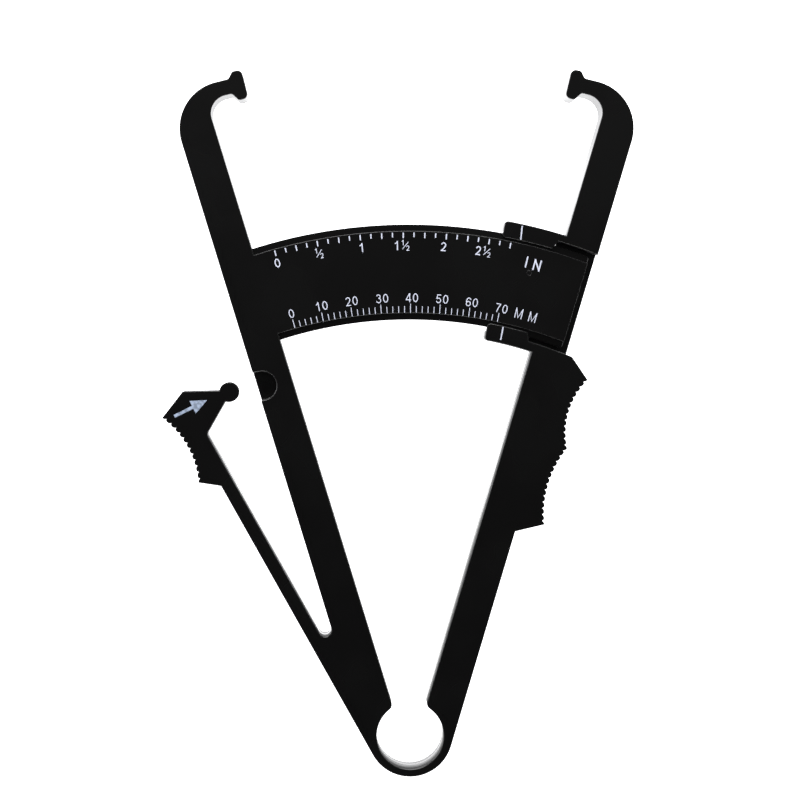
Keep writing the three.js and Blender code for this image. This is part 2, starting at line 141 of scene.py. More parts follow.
# figures and letters: text, angle, and radius to its middle
INCH_LABELS = (
    ("0", -15.2, 109.06 * MM),
    ("½", -10.25, 109.06 * MM),
    ("1", -5.3, 109.03 * MM),
    ("1½", -0.64, 109.0 * MM),
    ("2", 4.17, 109.0 * MM),
    ("2½", 8.81, 108.95 * MM),
)
INCH_UNIT = (("I", 13.97, 108.5 * MM), ("N", 15.25, 108.38 * MM))
MILLIMETRE_LABELS = (
    ("0", -15.21, 97.55 * MM),
    ("10", -11.2, 97.61 * MM),
    ("20", -7.27, 97.6 * MM),
    ("30", -3.31, 97.54 * MM),
    ("40", 0.55, 97.54 * MM),
    ("50", 4.46, 97.5 * MM),
    ("60", 8.32, 97.5 * MM),
    ("70", 12.25, 97.32 * MM),
)
MILLIMETRE_UNIT = (("M", 14.59, 97.12 * MM), ("M", 16.44, 97.11 * MM))

# faint round mark that an ejector pin left on the plate
PIN_MARK_PLACE = (106.3 * MM, 14.6)
PIN_MARK_RADIUS = 0.55 * MM
PIN_MARK_WIDTH = 0.2 * MM
PIN_MARK_HEIGHT = 0.05 * MM
PIN_MARK_CORNERS = 24

# noise: detail of each pattern, and the part of its range that is stretched from 0 to 1
FINE_DETAIL = 3
SLOW_DETAIL = 2
BREAK_DETAIL = 4
STREAK_DETAIL = 2
PATCH_RANGE = (0.3, 0.7)
BREAK_RANGE = (0.35, 0.65)
STREAK_RANGE = (0.35, 0.65)
STREAK_SCALES = (25, 25, 1300)

# tilt of a surface, 1 where it is level and 0 where it is upright: a paler edge, partly wear and
# partly a painted highlight, lies between the first two ranges, at no less than this share of its
# strength, and a wall fades over the third
FLAT_TILT = (0.9, 0.98)
UPRIGHT_TILT = (0.15, 0.4)
LEAST_WEAR_AND_HIGHLIGHT = 0.35
WALL_TILT = (0.1, 0.5)

# plastic: the walls are duller by this much at the front, from a height above the floor, and near
# the ring, over a range of distances beyond the turning centre
PLASTIC_GRAIN = {"Fine_scale": 2600, "Slow_scale": 70, "Seed": 3, "Waviness": 0.4}
# paler rounded edges: partly wear, partly a painted highlight along every edge
PLASTIC_WEAR_AND_HIGHLIGHT = {"Seed": 11, "Break_scale": 350}
PLASTIC_STREAKS = {"Seed": 5, "Strength": 0.22}
PLASTIC_ROUGHNESS = (0.25, 0.28)
PLASTIC_IOR = 1.5
PLASTIC_BUMP = (0.35, 0.006 * MM)
WALL_DULLNESS = 0.65
DULL_FROM = 3 * MM
HELD_FROM = 60 * MM
HELD_TO = 130 * MM

# ink: how much of it covers at the dark specks and, by its kind, at the thin and full blotches, and
# its brightness where it is thin
INK_GRAIN = {"Fine_scale": 4500, "Slow_scale": 1400, "Seed": 7, "Waviness": 0.3}
SPECK_RANGE = (0.36, 0.56)
SPECK_COVER = 0.55
BLOTCHES = {"scale_ink": (0.88, 1), "arrow_ink": (0.3, 1)}
THIN_INK = 0.3
INK_ROUGHNESS = (0.5, 0.65)
INK_BUMP = (0.3, 0.004 * MM)

# floor: size, drop below the part, and the paper that it is made of
FLOOR_HALF = 3.0
FLOOR_SQUARES = 12
FLOOR_DROP = 0.05 * MM
FLOOR_GLOW = 2.2
PAPER_GRAIN = {"Fine_scale": 1200, "Slow_scale": 8, "Seed": 19, "Waviness": 0.5}
PAPER_SHADE = 0.97
PAPER_ROUGHNESS = 0.9
PAPER_SPECULAR = 0.1
PAPER_BUMP = (0.2, 0.02 * MM)

# sky: its colours low down and overhead, and the ranges of a direction's X, Y and Z over which one
# gives way to the other
HORIZON = (1.0, 1.0, 1.02, 1)
HORIZON_RIGHT = (0.1, 0.1, 0.1, 1)
OVERHEAD_NEAR = (0.1, 0.1, 0.1, 1)
OVERHEAD_FAR = (0.42, 0.42, 0.42, 1)
TO_THE_RIGHT = (0, 0.8)
BEYOND_THE_JAWS = (0, 0.2)
UP_FROM_LOW = (0.1, 0.75)
WORLD_STRENGTH = 0.5

# lights: name, place, width, height, power in watts, aimed at the caliper's middle
LIGHTS = (
    ("key over the jaws", (-0.15, 1.1, 0.68), 1.0, 0.7, 24),
    ("fill below the ring", (0.1, -1.1, 0.62), 0.9, 0.35, 7),
    ("fill on the left", (-1.15, 0.15, 0.6), 0.9, 0.35, 5),
    ("fill on the right", (1.15, 0.1, 0.6), 0.9, 0.35, 0.5),
)

# camera: stands above the left half of the plate, tilted a little towards the ring and the right
CAMERA_OFFSET = Vector((-15.4 * MM, 90.53 * MM))
CAMERA_HEIGHT = 570 * MM
CAMERA_TURN = [math.radians(angle) for angle in (-1.5786, -1.398, -0.2261)]
CAMERA_SENSOR = 36
CAMERA_LENS = 114.554


class CaliperSizes(bpy.types.PropertyGroup):
    """Sizes of the mouldings' edges and of the print."""

    edge_radius: FloatProperty(
        name="Edge radius",
        description="Radius of the moulding's outer edges",
        default=0.2 * MM,
        unit="LENGTH",
    )
    rim_radius: FloatProperty(
        name="Rim radius",
        description="Radius of the step along the plate's rims",
        default=0.1 * MM,
        unit="LENGTH",
    )
    step_radius: FloatProperty(
        name="Step radius",
        description="Radius of short corners and of the foot of the pocket's wall",
        default=0.14 * MM,
        unit="LENGTH",
    )
    end_radius: FloatProperty(
        name="End radius",
        description="Radius of the edge at the plate's free end",
        default=0.05 * MM,
        unit="LENGTH",
    )
    corner_radius: FloatProperty(
        name="Corner radius",
        description="Radius of the sharp corners in plan",
        default=0.3 * MM,
        unit="LENGTH",
    )
    edge_segments: IntProperty(
        name="Edge segments",
        description="Faces across each rounded edge",
        default=4,
    )
    bend_stations: IntProperty(
        name="Bend stations",
        description="Cuts along the leaf, so that it can bend smoothly",
        default=40,
    )
    ink: FloatProperty(
        name="Ink depth",
        description="Height of the print above the plastic",
        default=0.03 * MM,
        unit="LENGTH",
    )
    inch_tick_width: FloatProperty(
        name="Inch tick width",
        description="Width of the inch scale's lines",
        default=0.27 * MM,
        unit="LENGTH",
    )
    millimetre_tick_width: FloatProperty(
        name="Millimetre tick width",
        description="Width of the millimetre scale's lines",
        default=0.15 * MM,
        unit="LENGTH",
    )
    numeral_height: FloatProperty(
        name="Numeral height",
        description="Height of the printed figures",
        default=2.0 * MM,
        unit="LENGTH",
    )
    inch_letter_height: FloatProperty(
        name="Inch letter height",
        description="Height of the inch unit's letters",
        default=2.5 * MM,
        unit="LENGTH",
    )
    millimetre_letter_height: FloatProperty(
        name="Millimetre letter height",
        description="Height of the millimetre unit's letters",
        default=2.25 * MM,
        unit="LENGTH",
    )
    inch_stroke: FloatProperty(
        name="Inch stroke",
        description="Width of the inch figures' strokes",
        default=0.25 * MM,
        unit="LENGTH",
    )
    millimetre_stroke: FloatProperty(
        name="Millimetre stroke",
        description="Width of the millimetre figures' and letters' strokes",
        default=0.2 * MM,
        unit="LENGTH",
    )
    inch_letter_stroke: FloatProperty(
        name="Inch letter stroke",
        description="Width of the inch unit's strokes",
        default=0.3 * MM,
        unit="LENGTH",
    )


class CaliperColours(bpy.types.PropertyGroup):
    """Colours of the plastic, the print and the floor."""

    plastic: FloatVectorProperty(
        name="Plastic",
        description="Black of the moulding",
        default=(0.001, 0.00095, 0.001, 1),
        size=4,
        subtype="COLOR",
    )
    # paler black painted on every rounded edge: partly wear, partly a painted highlight
    wear_and_highlight_colour: FloatVectorProperty(
        name="Edge with wear and painted highlight",
        description="Paler black of rounded edges, partly wear and partly a painted highlight",
        default=(0.017, 0.0168, 0.0175, 1),
        size=4,
        subtype="COLOR",
    )
    scale_ink: FloatVectorProperty(
        name="Scale ink",
        description="Bluish white of the scales",
        default=(0.7, 0.735, 0.88, 1),
        size=4,
        subtype="COLOR",
    )
    arrow_ink: FloatVectorProperty(
        name="Arrow ink",
        description="Grey blue of the arrow",
        default=(0.38, 0.46, 0.61, 1),
        size=4,
        subtype="COLOR",
    )
    floor: FloatVectorProperty(
        name="Floor",
        description="Pale paper under the caliper",
        default=(0.86, 0.86, 0.87, 1),
        size=4,
        subtype="COLOR",
    )


def sizes():
    """The sizes set in the panel."""
    return bpy.context.scene.caliper_sizes


def colours():
    """The colours set in the panel."""
    return bpy.context.scene.caliper_colours


# One closed mesh from several touching nodes


def flat_faces(names):
    """The level and the plan corners of every flat face of the nodes."""
    faces = []
    for name in names:
        mesh = frame["nodes"][name].data
        for face in mesh.polygons:
            if abs(face.normal.z) > LEVEL:
                corners = [mesh.vertices[i].co for i in face.vertices]
                level = round(corners[0].z, LEVEL_DIGITS)
                faces.append((level, [(c.x, c.y) for c in corners]))
    return faces


def numbered(faces):
    """The plan points as one list, and the faces with numbers into it as corners."""
    points = []
    number = {}
    for corner in sorted({c for _, corners in faces for c in corners}):
        number[corner] = len(points)
        for i in range(len(points) - 1, -1, -1):
            if corner[0] - points[i][0] > WELD:
                break
            if abs(corner[1] - points[i][1]) < WELD:
                number[corner] = i
                break
        if number[corner] == len(points):
            points.append(corner)
    return points, [(level, [number[c] for c in corners]) for level, corners in faces]


def edge_splitter(points):
    """A function that splits an edge between two points wherever a third point lies on it."""
    plan = np.array(points)
    known = {}

    def pieces(a, b):
        low, high = min(a, b), max(a, b)
        if (low, high) not in known:
            way = plan[high] - plan[low]
            length = np.hypot(*way)
            along = (plan - plan[low]) @ way / length
            off = np.abs((plan - plan[low]) @ np.array([-way[1], way[0]])) / length
            on = np.flatnonzero((off < WELD) & (along > WELD) & (along < length - WELD))
            known[low, high] = [low, *map(int, on[np.argsort(along[on])]), high]
        chain = known[low, high] if a < b else known[low, high][::-1]
        return list(zip(chain, chain[1:]))

    return pieces


def outline(faces, pieces):
    """Directed edges round the faces, without those that two faces share."""
    net = Counter()
    for corners in faces:
        for a, b in zip(corners, corners[1:] + corners[:1]):
            for edge in pieces(a, b):
                if net[edge[::-1]]:
                    net[edge[::-1]] -= 1
                else:
                    net[edge] += 1
    return [edge for edge, count in net.items() if count]


def loops(edges):
    """The closed chains that directed edges make."""
    following = defaultdict(list)
    for a, b in edges:
        following[a].append(b)
    chains = []
    while following:
        chain = [next(iter(following))]
        while True:
            here = chain[-1]
            after = following[here].pop()
            if not following[here]:
                del following[here]
            if after == chain[0]:
                break
            chain.append(after)
        chains.append(chain)
    return chains


def joined(names):
    """One closed mesh in the space of touching upright nodes, with no walls between them."""
    points, faces = numbered(flat_faces(names))
    pieces = edge_splitter(points)
    levels = sorted({level for level, _ in faces})
    bm = bmesh.new()
    made = {}

    def vertex(i, level):
        if (i, level) not in made:
            made[i, level] = bm.verts.new((*points[i], level))
        return made[i, level]

    for low, high in zip(levels, levels[1:]):
        for a, b in outline([c for level, c in faces if level > low], pieces):
            bm.faces.new([vertex(a, low), vertex(b, low), vertex(b, high), vertex(a, high)])
    for level in levels:
        for chain in loops(outline([c for at, c in faces if at == level], pieces)):
            bm.faces.new([vertex(i, level) for i in chain])
    bm.normal_update()
    bmesh.ops.dissolve_limit(
        bm, angle_limit=SAME_PLANE, verts=bm.verts[:], edges=bm.edges[:], delimit=set()
    )
    return bm


def seams(names, neighbours):
    """The plan segments along which nodes touch their neighbours."""
    points, faces = numbered(flat_faces(names) + flat_faces(neighbours))
    pieces = edge_splitter(points)
    own = len(flat_faces(names))
    top = [FRONT - WELD < level for level, _ in faces]
    ours = outline([c for i, (_, c) in enumerate(faces) if top[i] and i < own], pieces)
    theirs = outline([c for i, (_, c) in enumerate(faces) if top[i] and i >= own], pieces)
    shared = set(ours) & {edge[::-1] for edge in theirs}
    return [(Vector(points[a]), Vector(points[b])) for a, b in shared]


def on_segment(point, segment):
    """Whether a point lies on a plan segment."""
    start, end = segment
    way = (end - start).normalized()
    reach = point.xy - start
    along = reach.dot(way)
    off = abs(reach.x * way.y - reach.y * way.x)
    return off < 2 * WELD and -2 * WELD < along < (end - start).length + 2 * WELD


# Rounded edges


def middle_level(name):
    """The level of a node's step, between its back and its front."""
    return sorted({level for level, _ in flat_faces([name])})[1]


def foot(edge):
    """The lowest level of the upright faces that an edge borders."""
    walls = (face for face in edge.link_faces if abs(face.normal.z) < LEVEL)
    return min((vertex.co.z for face in walls for vertex in face.verts), default=edge.verts[0].co.z)


def room(edge):
    """The length of the shortest level edge that meets an upright one."""
    beside = (other for vertex in edge.verts for other in vertex.link_edges)
    return min(o.calc_length() for o in beside if abs(o.verts[0].co.z - o.verts[1].co.z) < WELD)


def edge_radius(edge, levels, seam_lines):
    """The radius that an edge is rounded to: 0 for soft corners, for hollow ones but the pocket's
    foot, for seams, for the bridge's upright corners and for the edges under the lips."""
    size = sizes()
    angle = edge.calc_face_angle_signed(0)
    a, b = edge.verts
    upright = abs(a.co.z - b.co.z) > WELD
    if angle < -ROUNDED and not upright and abs(a.co.z - levels["pocket"]) < WELD:
        return size.step_radius
    if angle < ROUNDED:
        return 0.0
    if any(on_segment(a.co, line) and on_segment(b.co, line) for line in seam_lines):
        return 0.0
    if upright:
        if any(abs(vertex.co.z - levels["bridge"]) < WELD for vertex in edge.verts):
            return 0.0
        radius = size.corner_radius if edge.calc_length() > SHORT_CORNER else size.step_radius
        if any(abs(vertex.co.z - levels["rim"]) < WELD for vertex in edge.verts):
            radius = min(radius, size.rim_radius)
        return min(radius, ROOM_SHARE * room(edge) / math.tan(angle / 2))
    if abs(a.co.z - levels["lip"]) < WELD:
        return 0.0
    if any(abs(level - levels["rim"]) < WELD for level in (a.co.z, foot(edge))):
        return size.rim_radius
    if abs(foot(edge) - levels["plate back"]) < WELD and a.co.z > FRONT - WELD:
        return size.end_radius
    return size.edge_radius


def moulded(name, nodes, neighbours):
    """The nodes as one moulding with rounded edges, left square where the neighbours carry on."""
    size = sizes()
    levels = {
        "pocket": middle_level("left_arm"),
        "rim": middle_level("scale_plate"),
        "lip": middle_level("inch_tab"),
        "bridge": max(level for level, _ in flat_faces(["channel_bridge"])),
        "plate back": min(level for level, _ in flat_faces(["scale_plate"])),
    }
    bm = joined(nodes)
    lines = seams(nodes, neighbours)
    weight = bm.edges.layers.float.new("bevel_weight_edge")
    for edge in bm.edges:
        edge[weight] = edge_radius(edge, levels, lines) / size.edge_radius
    mesh = bpy.data.meshes.new(name)
    bm.to_mesh(mesh)
    bm.free()
    piece = linked(name, mesh)
    bevel = piece.modifiers.new("Rounded edges", "BEVEL")
    bevel.limit_method = "WEIGHT"
    bevel.width = size.edge_radius
    bevel.segments = size.edge_segments
    bevel.use_clamp_overlap = False
    bpy.context.view_layer.update()
    graph = bpy.context.evaluated_depsgraph_get()
    piece.data = bpy.data.meshes.new_from_object(piece.evaluated_get(graph))
    piece.data.name = name
    piece.modifiers.clear()
    return piece


def linked(name, mesh):
    """A mesh as a new object in the scene."""
    piece = bpy.data.objects.new(name, mesh)
    bpy.context.scene.collection.objects.link(piece)
    return piece


def smooth(piece):
    """Smooth shading across soft edges, with the flat faces kept flat."""
    piece.data.shade_smooth()
    piece.data.set_sharp_from_angle(angle=SHARP)
    normals = piece.modifiers.new("Flat faces", "WEIGHTED_NORMAL")
    normals.keep_sharp = True


def seam_middle(names, neighbours):
    """The middle of the seam between two groups of nodes, halfway up the moulding."""
    ends = [end for line in seams(names, neighbours) for end in line]
    middle = sum(ends, Vector((0, 0))) / len(ends)
    return (*middle, FRONT / 2)


def cut_across(piece, start, end, count):
    """Cuts a strip square to its length, so that it can bend."""
    way = Vector(end) - Vector(start)
    bm = bmesh.new()
    bm.from_mesh(piece.data)
    for i in range(1, count):
        everything = bm.verts[:] + bm.edges[:] + bm.faces[:]
        at = Vector(start) + way * i / count
        bmesh.ops.bisect_plane(bm, geom=everything, plane_co=at, plane_no=way, dist=WELD)
    bm.to_mesh(piece.data)
    bm.free()


# Print: every line and figure is a thin closed strip of ink


def prism(bm, outline_points, low, high):
    """A closed upright block over a plan outline."""
    bottom = [bm.verts.new((x, y, low)) for x, y in outline_points]
    top = [bm.verts.new((x, y, high)) for x, y in outline_points]
    bm.faces.new(bottom[::-1])
    bm.faces.new(top)
    for i, start in enumerate(bottom):
        bm.faces.new([bottom[i - 1], start, top[i], top[i - 1]])


def sides(path, closed, half):
    """The points half a width to each side of a path, its corners mitred, and blunt where sharp."""
    pairs = []
    for i, here in enumerate(path):
        before = path[i - 1] if closed or i else None
        after = path[(i + 1) % len(path)] if closed or i < len(path) - 1 else None
        ways = [(b - a).normalized() for a, b in ((before, here), (here, after)) if a and b]
        way = sum(ways, Vector((0, 0))).normalized()
        across = Vector((way.y, -way.x)) * half / max(way.dot(ways[0]), BLUNTEST)
        pairs.append((here - across, here + across))
    return pairs


def strip(bm, path, width, low, high, closed=False):
    """A closed flat strip of ink along a plan path."""
    rows = []
    for left, right in sides(path, closed, width / 2):
        corners = ((left, low), (right, low), (right, high), (left, high))
        rows.append([bm.verts.new((*point, level)) for point, level in corners])
    for before, after in zip(rows, rows[1:] + rows[:1] if closed else rows[1:]):
        for k in range(4):
            bm.faces.new([before[k - 1], before[k], after[k], after[k - 1]])
    if not closed:
        bm.faces.new(rows[0])
        bm.faces.new(rows[-1][::-1])


def ridge(bm, centre, profile, count):
    """A closed ring about a centre, its profile given as distances from the centre and levels."""
    rows = []
    for i in range(count):
        out, _ = at_angle(360 * i / count)
        rows.append([bm.verts.new((*(centre + out * reach), level)) for reach, level in profile])
    for i, row in enumerate(rows):
        for k, corner in enumerate(row):
            bm.faces.new([rows[i - 1][k - 1], rows[i - 1][k], corner, row[k - 1]])


def closed_mesh(name, draw):
    """A mesh of closed blocks drawn by a function."""
    bm = bmesh.new()
    draw(bm)
    bmesh.ops.recalc_face_normals(bm, faces=bm.faces[:])
    mesh = bpy.data.meshes.new(name)
    bm.to_mesh(mesh)
    bm.free()
    return mesh


def printed(name, draw, ink, body, nodes=()):
    """A layer of print on the moulding's front, drawn by a function and riding on a body."""
    mesh = closed_mesh(name, draw)
    piece = linked(name, mesh)
    mesh.materials.append(ink_material(ink))
    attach(piece, body)
    if nodes:
        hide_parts(*nodes)


def at_angle(degrees):
    """Directions out from and clockwise round the turning centre."""
    turn = math.radians(degrees)
    out = Vector((math.sin(turn), math.cos(turn)))
    return out, Vector((out.y, -out.x))


def draw_lines(bm, zero, pitch, count, near, far, width):
    """The lines of a scale; near and far are the radii of their ends, used in turn."""
    for i in range(count):
        out, _ = at_angle(zero + pitch * i)
        ends = [TURNING_CENTRE + out * radii[i % len(radii)] for radii in (near, far)]
        strip(bm, ends, width, FRONT - SUNK, FRONT + sizes().ink)


def bow(x, y, across, up, start, end):
    """Points along part of an oval about (x, y), angles in degrees anticlockwise from the right."""
    count = max(2, math.ceil(abs(end - start) / BOW_STEP))
    turns = [math.radians(start + (end - start) * i / count) for i in range(count + 1)]
    return [(x + across * math.cos(t), y + up * math.sin(t)) for t in turns]


def small(strokes, x, y):
    """A figure's strokes at the size used in a fraction."""
    moved = []
    for closed, _, path in strokes:
        points = [(x + FRACTION_SIZE * px, y + FRACTION_SIZE * py) for px, py in path]
        moved.append((closed, FRACTION_WEIGHT, points))
    return moved


def figures():
    """Each figure's width and strokes (closed, weight, path), for a height of 1."""
    low, high = FIGURE_LOW, FIGURE_HIGH
    one = [
        (False, 1, [(0.37, 0), (0.37, 1)]),
        (False, 0.9, bow(0.06, 1.0, 0.3, 0.28, -82, -10)),
    ]
    two = [
        (False, 1, bow(0.3, 0.69, 0.22, 0.24, 170, -20) + [(0.43, 0.45), (0.11, low)]),
        (False, 1, [(0.03, low), (0.57, low)]),
    ]
    slash = [(False, FRACTION_WEIGHT, [(0.16, 0.12), (0.82, 0.88)])]
    drawn = {
        "0": [(True, 1, bow(0.31, 0.5, 0.235, 0.43, 0, 360)[:-1])],
        "1": one,
        "2": two,
        "3": [
            (False, 1, bow(0.29, 0.735, 0.19, 0.195, 165, -90)),
            (False, 1, bow(0.29, 0.3, 0.235, 0.24, 90, -165)),
        ],
        "4": [
            (False, 1, [(0.41, 0.96), (0.06, 0.3)]),
            (False, 1, [(0.0, 0.27), (0.6, 0.27)]),
            (False, 1, [(0.44, 0), (0.44, 1)]),
        ],
        "5": [
            (False, 1, [(0.56, high), (0.12, high)]),
            (False, 1, [(0.17, 0.97), (0.10, 0.47)]),
            (False, 1, bow(0.29, 0.325, 0.235, 0.255, 145, -165)),
        ],
        "6": [
            (True, 1, bow(0.32, 0.31, 0.225, 0.24, 0, 360)[:-1]),
            (False, 1, bow(0.34, 0.5, 0.25, 0.43, 35, 190)),
        ],
        "7": [
            (False, 1, [(0.04, high), (0.58, high)]),
            (False, 1, [(0.53, 0.9), (0.37, 0.6), (0.27, 0.3), (0.23, 0)]),
        ],
        "I": [(False, 1, [(low, 0), (low, 1)])],
        "N": [
            (False, 1, [(low, 0), (low, 1)]),
            (False, 1, [(low, high), (0.6, low)]),
            (False, 1, [(0.6, 0), (0.6, 1)]),
        ],
        "M": [
            (False, 1, [(low, 0), (low, 1)]),
            (False, 1, [(low, 0.97), (0.39, 0.05), (0.71, 0.97)]),
            (False, 1, [(0.71, 0), (0.71, 1)]),
        ],
        "½": small(one, 0.04, 0.53) + slash + small(two, 0.58, -0.08),
    }
    return {key: (OTHER_WIDTHS.get(key, FIGURE_WIDTH), strokes) for key, strokes in drawn.items()}


def draw_label(bm, text, degrees, radius, height, stroke):
    """Figures side by side about a spot of the arc, their heads away from the turning centre."""
    out, across = at_angle(degrees)
    shapes = [figures()[key] for key in text]
    total = sum(width for width, _ in shapes) + FIGURE_GAP * (len(shapes) - 1)
    left = -total / 2
    for width, strokes in shapes:
        for layer, (closed, weight, path) in enumerate(strokes):
            points = [
                TURNING_CENTRE + out * (radius + (y - 0.5) * height) + across * (left + x) * height
                for x, y in path
            ]
            top = FRONT + sizes().ink - layer * STROKE_DROP
            strip(bm, points, stroke * weight, FRONT - SUNK, top, closed)
        left += width + FIGURE_GAP


def draw_face_of(node):
    """A function that draws the front face of a node as print."""
    points, faces = numbered(flat_faces([node]))
    front = max(level for level, _ in faces)
    edges = outline([corners for level, corners in faces if level == front], edge_splitter(points))
    corners = [points[i] for i in loops(edges)[0]]
    return lambda bm: prism(bm, corners, FRONT - SUNK, FRONT + sizes().ink)


# Surfaces


def shader_group(name, inputs, outputs):
    """A shader group's tree, with the named sockets that it is given and that are taken from it."""
    tree = bpy.data.node_groups.new(name, "ShaderNodeTree")
    kind = "NodeSocketFloat"
    for label, default in inputs:
        socket = tree.interface.new_socket(name=label, in_out="INPUT", socket_type=kind)
        socket.default_value = default
    for label in outputs:
        tree.interface.new_socket(name=label, in_out="OUTPUT", socket_type=kind)
    given = tree.nodes.new("NodeGroupInput").outputs
    taken = tree.nodes.new("NodeGroupOutput").inputs
    return tree, given, taken


def adder(tree):
    """A function that adds a node and sets or links its inputs by name or number."""

    def add(kind, settings=(), **inputs):
        node = tree.nodes.new(kind)
        for key, value in dict(settings).items():
            setattr(node, key, value)
        for key, value in inputs.items():
            place = int(key[1:]) if key[0] == "_" and key[1:].isdigit() else key.replace("_", " ")
            if isinstance(value, bpy.types.NodeSocket):
                tree.links.new(value, node.inputs[place])
            else:
                node.inputs[place].default_value = value
        return node

    return add


def ramp(add, value, low, high, start=0.0, end=1.0):
    """A value moved smoothly from one range to another."""
    node = add(
        "ShaderNodeMapRange",
        {"interpolation_type": "SMOOTHSTEP"},
        Value=value,
        From_Min=low,
        From_Max=high,
        To_Min=start,
        To_Max=end,
    )
    return node.outputs["Result"]


def maths(add, operation, *values):
    """The result of one operation on numbers or sockets."""
    inputs = {f"_{i}": value for i, value in enumerate(values)}
    return add("ShaderNodeMath", {"operation": operation}, **inputs).outputs[0]


def mixed(add, share, first, second):
    """A colour between two, the share being that of the second."""
    node = add("ShaderNodeMix", {"data_type": "RGBA"}, _0=share, _6=first, _7=second)
    return node.outputs[2]


def noise(add, place, seed, scale, detail):
    """A cloudy pattern of its own for each seed."""
    settings = {"noise_dimensions": "4D"}
    node = add("ShaderNodeTexNoise", settings, Vector=place, W=seed, Scale=scale, Detail=detail)
    return node.outputs[0]


def axes(add, vector):
    """The X, Y and Z of a vector."""
    return add("ShaderNodeSeparateXYZ", (), _0=vector).outputs


def own_place(add):
    """A surface point's place in its own object."""
    return add("ShaderNodeTexCoord").outputs["Object"]


def tilt(add):
    """How level a surface is: 1 where it faces up or down and 0 where it is upright."""
    return maths(add, "ABSOLUTE", axes(add, add("ShaderNodeNewGeometry").outputs["Normal"])["Z"])


def grain_group():
    """Fine and slow unevenness of a surface, in object space."""
    name = "Surface grain"
    if name in bpy.data.node_groups:
        return bpy.data.node_groups[name]
    inputs = (("Fine scale", 2500), ("Slow scale", 60), ("Seed", 0), ("Waviness", 0.5))
    tree, given, taken = shader_group(name, inputs, ("Height", "Patches"))
    add = adder(tree)
    place = own_place(add)
    fine = noise(add, place, given["Seed"], given["Fine scale"], FINE_DETAIL)
    slow = noise(add, place, given["Seed"], given["Slow scale"], SLOW_DETAIL)
    waves = maths(add, "MULTIPLY", slow, given["Waviness"])
    tree.links.new(maths(add, "ADD", fine, waves), taken["Height"])
    tree.links.new(ramp(add, slow, *PATCH_RANGE), taken["Patches"])
    return tree


def wear_and_highlight_group():
    """A mask of rounded edges, which turn between flat and upright, broken up by noise: where the
    plastic is painted paler, partly as wear and partly as a painted highlight.
    """
    name = "Rubbed edges"
    if name in bpy.data.node_groups:
        return bpy.data.node_groups[name]
    tree, given, taken = shader_group(name, (("Seed", 0), ("Break scale", 400)), ("Mask",))
    add = adder(tree)
    level = tilt(add)
    off_flat = ramp(add, level, *FLAT_TILT, 1, 0)
    off_upright = ramp(add, level, *UPRIGHT_TILT)
    broken = noise(add, own_place(add), given["Seed"], given["Break scale"], BREAK_DETAIL)
    patches = ramp(add, broken, *BREAK_RANGE, LEAST_WEAR_AND_HIGHLIGHT, 1)
    edge = maths(add, "MULTIPLY", off_flat, off_upright)
    tree.links.new(maths(add, "MULTIPLY", edge, patches), taken["Mask"])
    return tree


def streak_group():
    """Fine streaks along the walls, level with the floor, as polishing leaves them in a mould."""
    name = "Wall streaks"
    if name in bpy.data.node_groups:
        return bpy.data.node_groups[name]
    tree, given, taken = shader_group(name, (("Seed", 0), ("Strength", 0.2)), ("Streaks",))
    add = adder(tree)
    settings = {"operation": "MULTIPLY"}
    stretched = add("ShaderNodeVectorMath", settings, _0=own_place(add), _1=STREAK_SCALES)
    place = stretched.outputs[0]
    pattern = noise(add, place, given["Seed"], scale=1, detail=STREAK_DETAIL)
    swing = ramp(add, pattern, *STREAK_RANGE, -1, 1)
    tree.links.new(maths(add, "MULTIPLY", swing, given["Strength"]), taken["Streaks"])
    return tree


def new_material(name):
    """A material, a function that adds nodes to it, its surface and its links."""
    material = bpy.data.materials.new(name)
    material.use_nodes = True
    add = adder(material.node_tree)
    return material, add, material.node_tree.nodes["Principled BSDF"], material.node_tree.links


def group_node(add, tree, inputs):
    """The outputs of a shader group placed in a material."""
    return add("ShaderNodeGroup", {"node_tree": tree}, **inputs).outputs


def bumped(add, height, strength, distance):
    """A surface's normal, turned by a height over it."""
    node = add("ShaderNodeBump", (), Strength=strength, Distance=distance, Height=height)
    return node.outputs[0]


def plastic_material():
    """Black moulded plastic with faint grain, patches of gloss and paler edges, which are partly
    wear and partly a painted highlight. Its walls are streaked near the ring, and duller there
    towards the front."""
    name = "black moulded plastic"
    if name in bpy.data.materials:
        return bpy.data.materials[name]
    material, add, surface, links = new_material(name)
    grain = group_node(add, grain_group(), PLASTIC_GRAIN)
    wear_and_highlight = group_node(add, wear_and_highlight_group(), PLASTIC_WEAR_AND_HIGHLIGHT)
    streaks = group_node(add, streak_group(), PLASTIC_STREAKS)
    # the rounded edges are painted paler black: partly wear, partly a painted highlight
    colour = mixed(add, wear_and_highlight["Mask"], colours().plastic, colours().wear_and_highlight_colour)
    links.new(colour, surface.inputs["Base Color"])
    place = axes(add, own_place(add))
    gloss = ramp(add, grain["Patches"], 0, 1, *PLASTIC_ROUGHNESS)
    wall = ramp(add, tilt(add), *WALL_TILT, 1, 0)
    front = ramp(add, place["Z"], DULL_FROM, FRONT, 0, WALL_DULLNESS)
    held = ramp(add, place["Y"], TURNING_CENTRE.y + HELD_TO, TURNING_CENTRE.y + HELD_FROM)
    dull = maths(add, "MULTIPLY_ADD", wall, maths(add, "MULTIPLY", front, held), gloss)
    on_wall = maths(add, "MULTIPLY", streaks["Streaks"], wall)
    streaked = maths(add, "MULTIPLY", on_wall, held)
    links.new(maths(add, "ADD", dull, streaked), surface.inputs["Roughness"])
    links.new(bumped(add, grain["Height"], *PLASTIC_BUMP), surface.inputs["Normal"])
    surface.inputs["IOR"].default_value = PLASTIC_IOR
    return material


def shaded(colour, brightness):
    """A colour at a share of its brightness."""
    return [brightness * part for part in colour[:3]] + [1]


